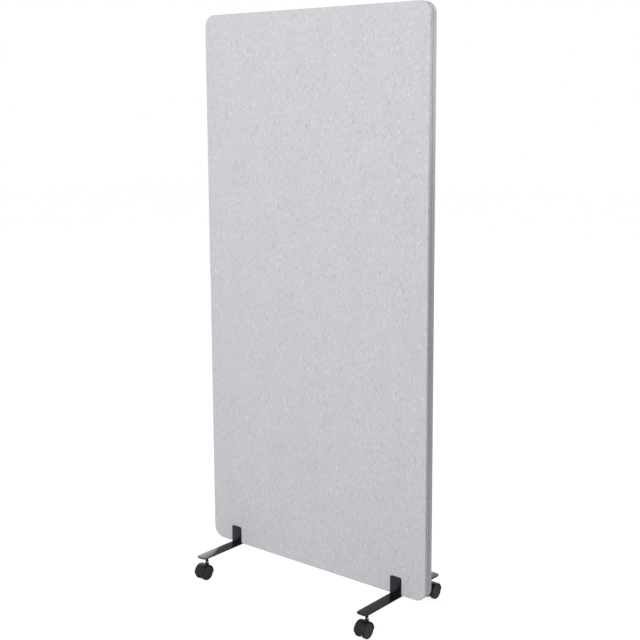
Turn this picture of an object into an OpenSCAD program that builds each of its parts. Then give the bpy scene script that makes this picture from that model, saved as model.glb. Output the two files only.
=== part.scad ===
// Rolling partition: a fabric-covered pin board made of two wrapped boards back to back,
// standing on two flat steel feet that each run on two twin-wheel swivel casters.
// Origin: on the floor, below the middle of the panel. X runs along the panel's width,
// Y through its thickness with the front face towards -Y, and Z up.

/* [Panel] */
// Width of the panel
panel_w = 800; // [720:10:1200]
// Height of the panel
panel_h = 1600; // [1000:10:2000]
// Thickness of one wrapped board, fabric included
board_t = 16; // [12:0.5:24]
// Radius of the panel's corners, seen from the front
corner_r = 34; // [20:1:75]
// Rounding of a board's edge at its outer face
face_edge_r = 3; // [2:0.5:5]
// Rounding of a board's edge where the two boards meet
back_edge_r = 3.5; // [1.5:0.5:4]
// Thickness of the fabric
fabric_t = 1; // [0.6:0.1:1.4]
// Width of the fabric turned in behind a board
hem_w = 30; // [15:1:60]

/* [Dowels] */
// Diameter of the dowels that join the boards
dowel_d = 8; // [6:0.5:10]
// Length of a dowel
dowel_l = 20; // [14:1:21]
// Empty room at each end of a dowel's hole
dowel_room = 0.5; // [0.2:0.1:1]
// Columns of dowels across the panel
dowel_columns = 3; // [2:1:5]
// Rows of dowels up the panel
dowel_rows = 4; // [2:1:7]
// Distance from the panel's edges to the outer dowels
dowel_margin = 110; // [80:5:200]

/* [Feet] */
// Distance between the centre lines of the two feet
foot_spacing = 606; // [400:2:680]
// Width of the flat bar
bar_w = 37; // [30:1:60]
// Thickness of the flat bar
bar_t = 3.5; // [3:0.5:8]
// Reach of the bar beyond each face of the panel
bar_reach = 160; // [146:2:240]
// Radius of the bar's corners, seen from above
bar_corner_r = 12; // [4:1:14]
// Height of the tab plates that hold the panel
tab_h = 52; // [25:1:100]
// Thickness of the tab plates
tab_t = 3; // [2:0.5:5]
// Radius of a tab plate's top corners
tab_corner_r = 5; // [2:0.5:12]

/* [Foot screws] */
// Thread diameter of the screws
screw_d = 5; // [4:0.5:5]
// Diameter of the countersunk head
screw_head_d = 9.2; // [8.4:0.2:10]
// Length of a screw, head included
screw_l = 16; // [12:1:20]
// Distance between the two screws of one board in a foot
screw_spacing = 20; // [12:1:24]
// Depth of the cross recess in a screw head
recess_depth = 1.6; // [1:0.1:2]
// Outer diameter of a threaded insert
insert_d = 7; // [6.6:0.1:8]
// Length of a threaded insert
insert_l = 12; // [8:1:16]
// Empty room above an insert in its hole
insert_room = 0.5; // [0.2:0.1:1]

/* [Caster stem] */
// Distance from the panel's face to the caster's swivel axis
caster_reach = 132; // [100:1:140]
// Outer diameter of the sleeve welded under the bar
sleeve_d = 8.5; // [8:0.5:14]
// Diameter of the sleeve's flared foot
sleeve_foot_d = 10; // [9:0.5:16]
// Height of the flare
flare_h = 3; // [1:0.5:6]
// Length of the sleeve
sleeve_l = 16.5; // [16:0.5:40]
// Diameter of the stem
stem_d = 6; // [5:0.5:6.5]
// Length of the stem inside the sleeve
stem_grip_l = 15; // [10:0.5:15]
// Diameter of the stem's collar
collar_d = 10; // [8.5:0.5:14]
// Thickness of the collar
collar_t = 2.5; // [1:0.5:4]
// Outer diameter of the clip under the stem
clip_d = 10; // [9:0.5:12]
// Thickness of the clip
clip_t = 0.8; // [0.6:0.1:1.2]
// Depth of the clip's groove in the stem
groove_depth = 0.8; // [0.5:0.1:1.2]
// Length of the stem below the clip
stem_tip_l = 1.2; // [0.8:0.1:2]

/* [Caster] */
// Diameter of the wheels
wheel_d = 44; // [42:1:46]
// Width of one wheel
wheel_w = 10; // [8:0.5:14]
// Rounding of the tread's edges
tread_edge_r = 2; // [0.5:0.5:3]
// Thickness of the web between the two wheels
web_t = 12; // [12:0.5:18]
// Height of the web above the floor
web_clearance = 4; // [3:0.5:8]
// Outer diameter of the barrel that turns on the stem
barrel_d = 10.8; // [10:0.1:11.5]
// Height of the barrel's lower end above the floor
barrel_z = 20.5; // [18:0.5:21.5]
// Distance from the swivel axis to the axle
trail = 13; // [12:0.5:16]
// Height of the hood's neck above the floor
neck_h = 48; // [46.5:0.5:60]
// Diameter of the hood's neck
neck_d = 11.5; // [11.5:0.5:16]
// Thickness of the hood's fender
fender_t = 2; // [2:0.5:4]
// How far the fender stands out beyond a wheel's outer face
fender_lip = 0.5; // [0:0.1:2]
// Rounding of the fender's outer edges
fender_edge_r = 1.5; // [0.5:0.5:1.5]
// Angle at which the fender ends on the stem side, measured from level
fender_start = -8; // [-20:1:20]
// Angle at which the fender ends on the trailing side
fender_end = 184; // [150:1:200]
// Diameter of the axle
axle_d = 6; // [5:0.5:8]
// Diameter of the axle's riveted heads
axle_head_d = 9; // [8.5:0.5:12]
// Thickness of an axle head
axle_head_t = 1.2; // [0.8:0.1:2]
// Diameter of the cap on a wheel's outer face
cap_d = 38.5; // [30:0.5:39.5]
// Thickness of the cap
cap_t = 1.5; // [1:0.1:2]
// How far the cap lies below the wheel's outer face
cap_inset = 0.4; // [0.2:0.1:1]
// Depth of the dish in a wheel's inner face
dish_depth = 3; // [1:0.5:4]
// Outer diameter of the dish
dish_d = 34; // [26:0.5:35]
// Diameter of the hub inside the dish
hub_d = 12; // [10:0.5:16]

/* [Clearances] */
// Gap between a wheel and the web
wheel_gap = 0.5; // [0.3:0.1:1]
// Gap on each side of an axle head and round it
head_gap = 0.5; // [0.3:0.1:1]
// Gap between the clip and the barrel
clip_gap = 0.3; // [0.2:0.1:0.6]
// Gap between the tread and the fender
fender_gap = 1; // [0.6:0.1:2]
// Gap between the collar and the hood's neck
swivel_gap = 0.3; // [0.3:0.1:1]
// Radial clearance of a shaft that turns in a bore
running_gap = 0.05; // [0.02:0.01:0.1]
// Radial clearance of a fixed pin in its hole
fixed_gap = 0.02; // [0.01:0.01:0.05]
// Radial clearance of the screws in the bar and in the fabric
screw_gap = 0.25; // [0.1:0.05:0.5]

/* [Hidden] */
$fn = 96;
cut = 1;

panel_z = neck_h + swivel_gap + collar_t + sleeve_l + bar_t;
core_t = board_t - 2 * fabric_t;
core_mid = board_t / 2;

foot_x = foot_spacing / 2;
bar_l = 2 * (board_t + bar_reach);
bar_z = panel_z - bar_t;
caster_y = board_t + caster_reach;

sleeve_z = bar_z - sleeve_l;
collar_z = sleeve_z - collar_t;
wheel_r = wheel_d / 2;
web_face = web_t / 2;
wheel_face = web_face + wheel_gap;
fender_in_r = wheel_r + fender_gap;
fender_r = fender_in_r + fender_t;
fender_w = 2 * (wheel_face + wheel_w + fender_lip);
web_r = wheel_r - web_clearance;
neck_foot_z = wheel_r + fender_in_r / 2;
clip_z = barrel_z - clip_gap - clip_t;
stem_end_z = clip_z - stem_tip_l;
groove_d = stem_d - 2 * groove_depth;
// The room round the clip opens through both sides of the web.
clip_room_d = max(clip_d + 2 * head_gap, web_t + 1);

cap_recess = cap_t + cap_inset;
head_recess = axle_head_t + 2 * head_gap;
axle_end = wheel_face + wheel_w - cap_recess - head_gap;

dowel_x_step = (panel_w - 2 * dowel_margin) / (dowel_columns - 1);
dowel_z_step = (panel_h - 2 * dowel_margin) / (dowel_rows - 1);

fabric_grey = "#cdccce";
board_brown = "#b58c62";
beech = "#d8b98a";
steel_black = "#26262a";
plastic_black = "#1d1d20";
zinc = "#c9ccd0";
brass = "#c9a64f";

FEET = [["left", -1], ["right", 1]];
CASTERS = [
    ["front_left", -1, -1], ["front_right", 1, -1],
    ["rear_left", -1, 1], ["rear_right", 1, 1]
];

// ---------------------------------------------------------------- panel

// Half of a board's cross-section: the edge is at x = reach, the back at y = 0.
module edge_profile(reach, t, face_r, back_r) {
    translate([0, back_r]) square([reach, t - face_r - back_r]);
    square([reach - back_r, t / 2]);
    translate([0, t / 2]) square([reach - face_r, t / 2]);
    translate([reach - back_r, back_r]) circle(r = back_r);
    translate([reach - face_r, t - face_r]) circle(r = face_r);
}

module whole_profile(reach, t, face_r, back_r) {
    edge_profile(reach, t, face_r, back_r);
    mirror([1, 0]) edge_profile(reach, t, face_r, back_r);
}

// A rounded plate with rounded edges, lying on its back in the XY plane.
module rounded_plate(w, h, t, r, face_r, back_r) {
    for (x = [-1, 1], y = [-1, 1])
        translate([x * (w / 2 - r), y * (h / 2 - r), 0])
            rotate_extrude() intersection() {
                edge_profile(r, t, face_r, back_r);
                square([r, t]);
            }
    rotate([90, 0, 0])
        linear_extrude(h - 2 * r, center = true) whole_profile(w / 2, t, face_r, back_r);
    rotate([90, 0, 90])
        linear_extrude(w - 2 * r, center = true) whole_profile(h / 2, t, face_r, back_r);
}

// Cross-section of the fabric round a board's edge, from one corner radius inside the edge.
module wrap_profile() {
    difference() {
        edge_profile(corner_r, board_t, face_edge_r, back_edge_r);
        translate([0, fabric_t])
            edge_profile(
                corner_r - fabric_t, core_t, face_edge_r - fabric_t, back_edge_r - fabric_t
            );
        square([corner_r - hem_w, 2 * fabric_t]);
    }
}

// The fabric of one board: the face, the four sides and the hem turned in behind.
module wrapped_shell() {
    inner_w = panel_w - 2 * corner_r;
    inner_h = panel_h - 2 * corner_r;
    for (turn = [0 : 3]) {
        across = turn % 2 == 0 ? inner_w : inner_h;
        along = turn % 2 == 0 ? inner_h : inner_w;
        rotate([0, 0, 90 * turn]) {
            translate([across / 2, along / 2, 0]) rotate_extrude(angle = 90) wrap_profile();
            rotate([90, 0, 0])
                linear_extrude(along, center = true) translate([across / 2, 0]) wrap_profile();
        }
    }
    translate([0, 0, board_t - fabric_t])
        linear_extrude(fabric_t) square([inner_w, inner_h], center = true);
}

// Stands a plate that lies on its back upright, as the front half of the panel.
module stand_up() {
    translate([0, 0, panel_z + panel_h / 2]) rotate([90, 0, 0]) children();
}

// What is drawn for the front is turned half a turn about Z for the rear.
module facing(side) {
    rotate([0, 0, side < 0 ? 0 : 180]) children();
}

module dowel_places() {
    for (i = [0 : dowel_columns - 1], j = [0 : dowel_rows - 1])
        translate([
            -panel_w / 2 + dowel_margin + i * dowel_x_step, 0,
            panel_z + dowel_margin + j * dowel_z_step
        ])
            rotate([90, 0, 0]) children();
}

module foot_screw_places(foot) {
    for (x = [-1, 1], y = [-1, 1])
        translate([foot * foot_x + x * screw_spacing / 2, y * core_mid, 0]) children();
}

module board(side) {
    color(board_brown) difference() {
        facing(side) stand_up() translate([0, 0, fabric_t])
            rounded_plate(
                panel_w - 2 * fabric_t, panel_h - 2 * fabric_t, core_t,
                corner_r - fabric_t, face_edge_r - fabric_t, back_edge_r - fabric_t
            );
        dowel_places()
            cylinder(d = dowel_d + 2 * fixed_gap, h = dowel_l + 2 * dowel_room, center = true);
        for (foot = FEET)
            foot_screw_places(foot[1])
                translate([0, 0, panel_z + fabric_t - cut])
                    cylinder(d = insert_d + 2 * fixed_gap, h = insert_l + cut + insert_room);
    }
}

module fabric(side) {
    color(fabric_grey) difference() {
        facing(side) stand_up() wrapped_shell();
        for (foot = FEET)
            foot_screw_places(foot[1])
                translate([0, 0, panel_z - cut])
                    cylinder(d = screw_d + 2 * screw_gap, h = fabric_t + 2 * cut);
    }
}

module joining_dowels() {
    chamfer = 1;
    color(beech) dowel_places() {
        cylinder(d = dowel_d, h = dowel_l - 2 * chamfer, center = true);
        for (s = [-1, 1])
            rotate([s < 0 ? 180 : 0, 0, 0])
                translate([0, 0, dowel_l / 2 - chamfer])
                    cylinder(d1 = dowel_d, d2 = dowel_d - 2 * chamfer, h = chamfer);
    }
}

// ----------------------------------------------------------------- feet

module rounded_bar_outline() {
    for (x = [-1, 1], y = [-1, 1])
        translate([x * (bar_w / 2 - bar_corner_r), y * (bar_l / 2 - bar_corner_r)])
            circle(r = bar_corner_r);
    square([bar_w, bar_l - 2 * bar_corner_r], center = true);
    square([bar_w - 2 * bar_corner_r, bar_l], center = true);
}

module countersunk_shape(grow) {
    head_h = (screw_head_d - screw_d) / 2;
    cylinder(d = screw_d + 2 * grow, h = screw_l);
    cylinder(d1 = screw_head_d + 2 * grow, d2 = screw_d + 2 * grow, h = head_h);
}

module foot_bar(foot) {
    color(steel_black) difference() {
        translate([foot * foot_x, 0, bar_z]) linear_extrude(bar_t) rounded_bar_outline();
        foot_screw_places(foot) {
            translate([0, 0, bar_z]) countersunk_shape(screw_gap);
            translate([0, 0, bar_z - cut])
                cylinder(d = screw_head_d + 2 * screw_gap, h = cut + 0.01);
        }
    }
}

module tab(foot, side) {
    color(steel_black)
        translate([foot * foot_x, side < 0 ? -board_t : board_t + tab_t, panel_z])
            rotate([90, 0, 0]) linear_extrude(tab_t) {
                for (x = [-1, 1])
                    translate([x * (bar_w / 2 - tab_corner_r), tab_h - tab_corner_r])
                        circle(r = tab_corner_r);
                translate([-bar_w / 2, 0]) square([bar_w, tab_h - tab_corner_r]);
                translate([-bar_w / 2 + tab_corner_r, 0]) square([bar_w - 2 * tab_corner_r, tab_h]);
            }
}

module foot_screws(foot) {
    arm_l = screw_d;
    arm_w = 1.1;
    color(zinc) foot_screw_places(foot) translate([0, 0, bar_z]) difference() {
        countersunk_shape(0);
        for (a = [0, 90])
            rotate([0, 0, a])
                translate([-arm_l / 2, -arm_w / 2, -cut]) cube([arm_l, arm_w, recess_depth + cut]);
    }
}

module foot_inserts(foot) {
    color(brass) foot_screw_places(foot) translate([0, 0, panel_z + fabric_t]) difference() {
        cylinder(d = insert_d, h = insert_l);
        translate([0, 0, -cut]) cylinder(d = screw_d + 2 * fixed_gap, h = insert_l + 2 * cut);
    }
}

// -------------------------------------------------------------- casters

// Places a caster drawn with its swivel axis on Z and its wheels trailing towards -Y.
module at_caster(foot, side) {
    translate([foot * foot_x, side * caster_y, 0]) facing(side) children();
}

// Turns a shape drawn about Z into one about the axle, with the shape's +Z along X.
module at_axle() {
    translate([0, -trail, wheel_r]) rotate([90, 0, 90]) children();
}

module sleeve() {
    color(steel_black) translate([0, 0, sleeve_z]) difference() {
        union() {
            cylinder(d = sleeve_d, h = sleeve_l);
            cylinder(d1 = sleeve_foot_d, d2 = sleeve_d, h = flare_h);
        }
        translate([0, 0, -cut])
            cylinder(d = stem_d + 2 * fixed_gap, h = stem_grip_l + 2 * fixed_gap + cut);
    }
}

module stem() {
    groove_h = clip_t + 2 * fixed_gap;
    color(zinc) difference() {
        union() {
            translate([0, 0, stem_end_z])
                cylinder(d = stem_d, h = sleeve_z + stem_grip_l - stem_end_z);
            translate([0, 0, collar_z]) cylinder(d = collar_d, h = collar_t);
        }
        translate([0, 0, clip_z - fixed_gap]) difference() {
            cylinder(d = stem_d + cut, h = groove_h);
            translate([0, 0, -cut]) cylinder(d = groove_d, h = groove_h + 2 * cut);
        }
    }
}

module clip() {
    color(zinc) translate([0, 0, clip_z]) difference() {
        cylinder(d = clip_d, h = clip_t);
        translate([0, 0, -cut]) cylinder(d = groove_d + 2 * fixed_gap, h = clip_t + 2 * cut);
        translate([-groove_d / 2, -clip_d, -cut]) cube([groove_d, clip_d, clip_t + 2 * cut]);
    }
}

module fender_profile() {
    corner_x = fender_r - fender_edge_r;
    corner_y = fender_w / 2 - fender_edge_r;
    translate([fender_in_r, -corner_y]) square([fender_t, 2 * corner_y]);
    translate([fender_in_r, -fender_w / 2]) square([fender_t - fender_edge_r, fender_w]);
    intersection() {
        for (s = [-1, 1]) translate([corner_x, s * corner_y]) circle(r = fender_edge_r);
        translate([fender_in_r, -fender_w / 2]) square([fender_t, fender_w]);
    }
}

module hood() {
    sweep = fender_end - fender_start;
    color(plastic_black) difference() {
        union() {
            at_axle() {
                rotate([0, 0, fender_start]) rotate_extrude(angle = sweep) fender_profile();
                rotate([0, 0, fender_start])
                    rotate_extrude(angle = sweep)
                        translate([0, -web_face]) square([fender_in_r + fender_t / 2, web_t]);
                translate([0, 0, -web_face]) cylinder(r = web_r, h = web_t);
            }
            translate([0, 0, barrel_z]) cylinder(d = barrel_d, h = neck_h - barrel_z);
            translate([0, 0, neck_foot_z]) cylinder(d = neck_d, h = neck_h - neck_foot_z);
        }
        translate([0, 0, -cut]) cylinder(d = stem_d + 2 * running_gap, h = neck_h + 2 * cut);
        translate([0, 0, -cut]) cylinder(d = clip_room_d, h = barrel_z + cut);
        at_axle() cylinder(d = axle_d + 2 * fixed_gap, h = web_t + 2 * cut, center = true);
    }
}

module axle() {
    color(zinc) at_axle() {
        cylinder(d = axle_d, h = 2 * axle_end, center = true);
        for (s = [-1, 1])
            translate([0, 0, s * (axle_end - axle_head_t / 2)])
                cylinder(d = axle_head_d, h = axle_head_t, center = true);
    }
}

// Half-plane profile of a wheel: x is the radius, y runs from the inner face outwards.
module tread_profile() {
    translate([0, tread_edge_r]) square([wheel_r, wheel_w - 2 * tread_edge_r]);
    square([wheel_r - tread_edge_r, wheel_w]);
    intersection() {
        for (y = [tread_edge_r, wheel_w - tread_edge_r])
            translate([wheel_r - tread_edge_r, y]) circle(r = tread_edge_r);
        square([wheel_r, wheel_w]);
    }
}

// dir is 1 for the wheel on the +X side of the caster and -1 for the other.
module wheel(dir) {
    cap_seat = wheel_w - cap_recess;
    color(plastic_black) at_axle() mirror([0, 0, dir > 0 ? 0 : 1])
        translate([0, 0, wheel_face]) difference() {
            rotate_extrude() tread_profile();
            translate([0, 0, -cut]) cylinder(d = axle_d + 2 * running_gap, h = wheel_w + 2 * cut);
            translate([0, 0, cap_seat]) cylinder(d = cap_d + 2 * fixed_gap, h = cap_recess + cut);
            translate([0, 0, cap_seat - head_recess])
                cylinder(d = axle_head_d + 2 * head_gap, h = head_recess + cut);
            translate([0, 0, -cut]) difference() {
                cylinder(d = dish_d, h = dish_depth + cut);
                translate([0, 0, -cut]) cylinder(d = hub_d, h = dish_depth + 3 * cut);
            }
        }
}

module cap(dir) {
    color(plastic_black) at_axle() mirror([0, 0, dir > 0 ? 0 : 1])
        translate([0, 0, wheel_face + wheel_w - cap_recess]) cylinder(d = cap_d, h = cap_t);
}

// ---------------------------------------------------------------- nodes

board(-1);  // front_board
board(1);  // rear_board
fabric(-1);  // front_fabric
fabric(1);  // rear_fabric
joining_dowels();
for (f = FEET) {
    foot_bar(f[1]);
    tab(f[1], -1);
    tab(f[1], 1);
    foot_screws(f[1]);
    foot_inserts(f[1]);
}
for (c = CASTERS) {
    // Seen from the panel's middle, the outer wheel is on the foot's own side.
    out = c[1] * -c[2];
    at_caster(c[1], c[2]) sleeve();
    at_caster(c[1], c[2]) stem();
    at_caster(c[1], c[2]) clip();
    at_caster(c[1], c[2]) hood();
    at_caster(c[1], c[2]) axle();
    at_caster(c[1], c[2]) wheel(-out);
    at_caster(c[1], c[2]) wheel(out);
    at_caster(c[1], c[2]) cap(-out);
    at_caster(c[1], c[2]) cap(out);
}
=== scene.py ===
import math

import bmesh
import bpy
from mathutils import Matrix, Vector


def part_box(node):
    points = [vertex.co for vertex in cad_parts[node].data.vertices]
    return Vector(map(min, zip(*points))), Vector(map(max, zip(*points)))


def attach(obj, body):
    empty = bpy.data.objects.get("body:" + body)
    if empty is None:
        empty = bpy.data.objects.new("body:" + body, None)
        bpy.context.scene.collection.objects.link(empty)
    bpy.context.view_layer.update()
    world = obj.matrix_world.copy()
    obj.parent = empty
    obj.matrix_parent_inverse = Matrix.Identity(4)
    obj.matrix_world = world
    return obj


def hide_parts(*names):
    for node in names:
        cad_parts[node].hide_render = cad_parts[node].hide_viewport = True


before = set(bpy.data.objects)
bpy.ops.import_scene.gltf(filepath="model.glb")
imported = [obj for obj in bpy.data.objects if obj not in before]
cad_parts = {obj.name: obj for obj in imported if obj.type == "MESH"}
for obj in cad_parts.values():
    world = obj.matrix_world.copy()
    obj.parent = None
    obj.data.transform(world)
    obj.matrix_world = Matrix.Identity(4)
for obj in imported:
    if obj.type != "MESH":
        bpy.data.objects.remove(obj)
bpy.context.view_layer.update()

# ------------------------------------------------------------ measures, in metres

MM = 0.001

# The panel: two boards back to back, each wrapped in its own cloth.
panel_low, panel_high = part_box("front_fabric")
panel_w = panel_high.x - panel_low.x
panel_h = panel_high.z - panel_low.z
panel_z = panel_low.z
board_t = -panel_low.y
corner_r = 34 * MM
face_edge_r = 3 * MM
back_edge_r = 3.5 * MM
cloth_t = 0.8 * MM
hem_w = 30 * MM
pucker_depth = 0.25 * MM

# The feet: a flat bar under the panel, tabs up both faces, and four screws from below.
bar_low, bar_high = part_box("right_foot_bar")
tab_low, tab_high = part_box("right_front_tab")
foot_x = (bar_low.x + bar_high.x) / 2
bar_corner_r = 12 * MM
tab_corner_r = 5 * MM
plate_edge_r = 0.6 * MM
screw_d = 5 * MM
screw_head_d = 9.2 * MM
screw_gap = 0.25 * MM
screw_spacing = 20 * MM
countersink_rim = 0.02 * MM
hole_reach = 10 * MM

# The casters' sleeves under the bars, and the stems in them.
sleeve_low, sleeve_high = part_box("front_right_sleeve")
swivel_y = -sleeve_low.y - (sleeve_high.x - sleeve_low.x) / 2
sleeve_r = 4.25 * MM
sleeve_gap = 0.02 * MM
sleeve_foot_r = 5 * MM
sleeve_foot_h = 0.8 * MM
flare_h = 3 * MM
stem_r = 3 * MM
stem_in_sleeve = 14 * MM
stem_tip = 1.2 * MM
collar_r = 5 * MM
collar_t = 2.5 * MM
clip_z = 19.4 * MM
clip_t = 0.8 * MM
groove_r = 2.2 * MM

# The wheels, their caps and the axle, which trails behind the stem.
wheel_low, wheel_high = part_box("front_right_outer_wheel")
wheel_r = (wheel_high.z - wheel_low.z) / 2
wheel_w = wheel_high.x - wheel_low.x
wheel_face = 6.5 * MM
trail = 13 * MM
tread_edge_r = 2 * MM
axle_r = 3 * MM
axle_head_r = 4.5 * MM
axle_head_room = 0.5 * MM
axle_head_depth = 2.2 * MM
cap_r = 19.25 * MM
cap_t = 1.5 * MM
cap_gap = 0.05 * MM
cap_ease = 0.12 * MM
cap_inset = 0.4 * MM
cap_seat = wheel_w - cap_t - cap_inset
cap_bevel_w = 1.6 * MM
cap_bevel_end = 2.2 * MM
cap_bevel_h = 0.25 * MM
cap_hollow = 0.35 * MM
dish_r = 17 * MM
dish_depth = 3 * MM
dish_draft = 0.6 * MM
hub_r = 6 * MM
running_gap = 0.05 * MM

# The hood: fender, web, barrel and neck in one moulding.
web_t = 12 * MM
web_r = 18 * MM
web_edge_r = 0.4 * MM
web_into_fender = 1.0 * MM
fender_in_r = 23 * MM
fender_r = 25 * MM
fender_w = 34 * MM
fender_crown = 0.5 * MM
fender_edge_r = 1.4 * MM
fender_start = math.radians(-8)
fender_end = math.radians(184)
barrel_r = 5.4 * MM
barrel_z = 20.5 * MM
barrel_into_web = 15 * MM
neck_r = 5.75 * MM
neck_flare = 0.8 * MM
neck_flare_h = 4 * MM
neck_h = 48 * MM
clip_room_r = 6.5 * MM
bore_reach = 60 * MM

# Run of the cloth from a corner's centre to where it turns in behind its board.
fold_run = (
    corner_r - face_edge_r + math.pi / 2 * (face_edge_r + back_edge_r)
    + board_t - face_edge_r - back_edge_r
)

# The way each lies: feet along X, sides along Y, wheels away from the panel's middle.
FEET = {"left": -1, "right": 1}
SIDES = {"front": -1, "rear": 1}
WHEELS = {"inner": -1, "outer": 1}

# How finely curves are drawn, how close two points are one, and how far outside a cut starts.
ON_AXIS = 1e-7
MERGE_DIST = 0.004 * MM
CUT_PAST = 1 * MM
PLATE_CORNER_STEPS = 10
PLATE_EDGE_STEPS = 3
FINE_TURN = 96
HOOD_TURN = 64
STEM_TURN = 48
SCREW_TURN = 32

# ------------------------------------------------------------ mesh making


def piece(name, bm, materials, smooth_angle=32):
    """A new object from a bmesh, with its edges sharper than smooth_angle kept crisp."""
    bmesh.ops.recalc_face_normals(bm, faces=bm.faces)
    mesh = bpy.data.meshes.new(name)
    bm.to_mesh(mesh)
    bm.free()
    for material in materials:
        mesh.materials.append(material)
    mesh.shade_smooth()
    mesh.set_sharp_from_angle(angle=math.radians(smooth_angle))
    obj = bpy.data.objects.new(name, mesh)
    bpy.context.scene.collection.objects.link(obj)
    return obj


def bridge(bm, lower, upper):
    """Quads between two closed loops of the same number of vertices."""
    count = len(lower)
    for i in range(count):
        j = (i + 1) % count
        bm.faces.new((lower[i], lower[j], upper[j], upper[i]))


def lathe(profile, segments):
    """A solid turned about Z from (radius, height) points that end on the axis or make a ring."""
    bm = bmesh.new()
    rings = []
    for radius, height in profile:
        if radius < ON_AXIS:
            rings.append([bm.verts.new((0, 0, height))])
            continue
        rings.append([
            bm.verts.new((
                radius * math.cos(math.tau * i / segments),
                radius * math.sin(math.tau * i / segments),
                height,
            ))
            for i in range(segments)
        ])
    pairs = list(zip(rings, rings[1:]))
    if len(rings[0]) > 1:
        pairs.append((rings[-1], rings[0]))
    for lower, upper in pairs:
        if len(lower) == 1:
            for i in range(segments):
                bm.faces.new((lower[0], upper[i], upper[(i + 1) % segments]))
        elif len(upper) == 1:
            for i in range(segments):
                bm.faces.new((lower[i], lower[(i + 1) % segments], upper[0]))
        else:
            bridge(bm, lower, upper)
    return bm


def rounded(points, radii, steps=4):
    """A run of (x, y) points with each corner between its two ends rounded to its radius."""
    out = []
    for i, (point, radius) in enumerate(zip(points, radii)):
        if radius <= 0 or i in (0, len(points) - 1):
            out.append(point)
            continue
        here = Vector(point)
        before = (Vector(points[i - 1]) - here).normalized()
        after = (Vector(points[i + 1]) - here).normalized()
        half = before.angle(after) / 2
        reach = radius / math.tan(half)
        middle = here + (before + after).normalized() * radius / math.sin(half)
        start, end = here + before * reach - middle, here + after * reach - middle
        turn = start.angle_signed(end)
        for k in range(steps + 1):
            angle = -turn * k / steps
            out.append(tuple(middle + Matrix.Rotation(angle, 2) @ start))
    return out


def rounded_rectangle(width, height, radius):
    """(x, y, outward angle) round a rectangle, corner by corner, anticlockwise from +X."""
    steps = PLATE_CORNER_STEPS
    out = []
    for corner, (sx, sy) in enumerate(((1, 1), (-1, 1), (-1, -1), (1, -1))):
        for k in range(steps + 1):
            angle = math.pi / 2 * (corner + k / steps)
            out.append((
                sx * (width / 2 - radius) + radius * math.cos(angle),
                sy * (height / 2 - radius) + radius * math.sin(angle),
                angle,
            ))
    return out


def skinned(rings):
    """A closed solid over a row of rings of points, with a face on each end."""
    bm = bmesh.new()
    loops = [[bm.verts.new(point) for point in ring] for ring in rings]
    for lower, upper in zip(loops, loops[1:]):
        bridge(bm, lower, upper)
    bm.faces.new(loops[0])
    bm.faces.new(loops[-1])
    return bm


def plate(outline, thickness, edge_r):
    """A flat plate on the XY plane with rounded edges. outline holds (x, y, outward angle)."""
    turns = [math.pi / 2 * k / PLATE_EDGE_STEPS for k in range(PLATE_EDGE_STEPS + 1)]
    levels = [(edge_r * (1 - math.sin(a)), edge_r * (1 - math.cos(a))) for a in turns]
    levels += [(inset, thickness - height) for inset, height in reversed(levels)]
    return skinned([
        [(x - inset * math.cos(a), y - inset * math.sin(a), height) for x, y, a in outline]
        for inset, height in levels
    ])


def combined(first, others, operation):
    """The exact boolean of one bmesh with others, as a new bmesh."""
    collection = bpy.context.scene.collection
    objects = []
    for bm in (first, *others):
        bmesh.ops.recalc_face_normals(bm, faces=bm.faces)
        mesh = bpy.data.meshes.new("blank")
        bm.to_mesh(mesh)
        bm.free()
        objects.append(bpy.data.objects.new("blank", mesh))
        collection.objects.link(objects[-1])
    for tool in objects[1:]:
        cut = objects[0].modifiers.new("cut", "BOOLEAN")
        cut.operation = operation
        cut.solver = "EXACT"
        cut.object = tool
    graph = bpy.context.evaluated_depsgraph_get()
    out = bmesh.new()
    out.from_object(objects[0], graph)
    for obj in objects:
        mesh = obj.data
        bpy.data.objects.remove(obj)
        bpy.data.meshes.remove(mesh)
    bmesh.ops.remove_doubles(out, verts=out.verts, dist=MERGE_DIST)
    bmesh.ops.dissolve_degenerate(out, edges=out.edges, dist=MERGE_DIST)
    many_sided = [face for face in out.faces if len(face.verts) > 4]
    bmesh.ops.triangulate(out, faces=many_sided, quad_method="BEAUTY", ngon_method="BEAUTY")
    return out


def moved(bm, matrix):
    """The bmesh moved by a matrix."""
    bmesh.ops.transform(bm, matrix=matrix, verts=bm.verts)
    return bm


def dressed(obj, body, node):
    """Puts a piece on its body and hides the node that it stands for."""
    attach(obj, body)
    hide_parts(node)


# ------------------------------------------------------------ node helpers


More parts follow.
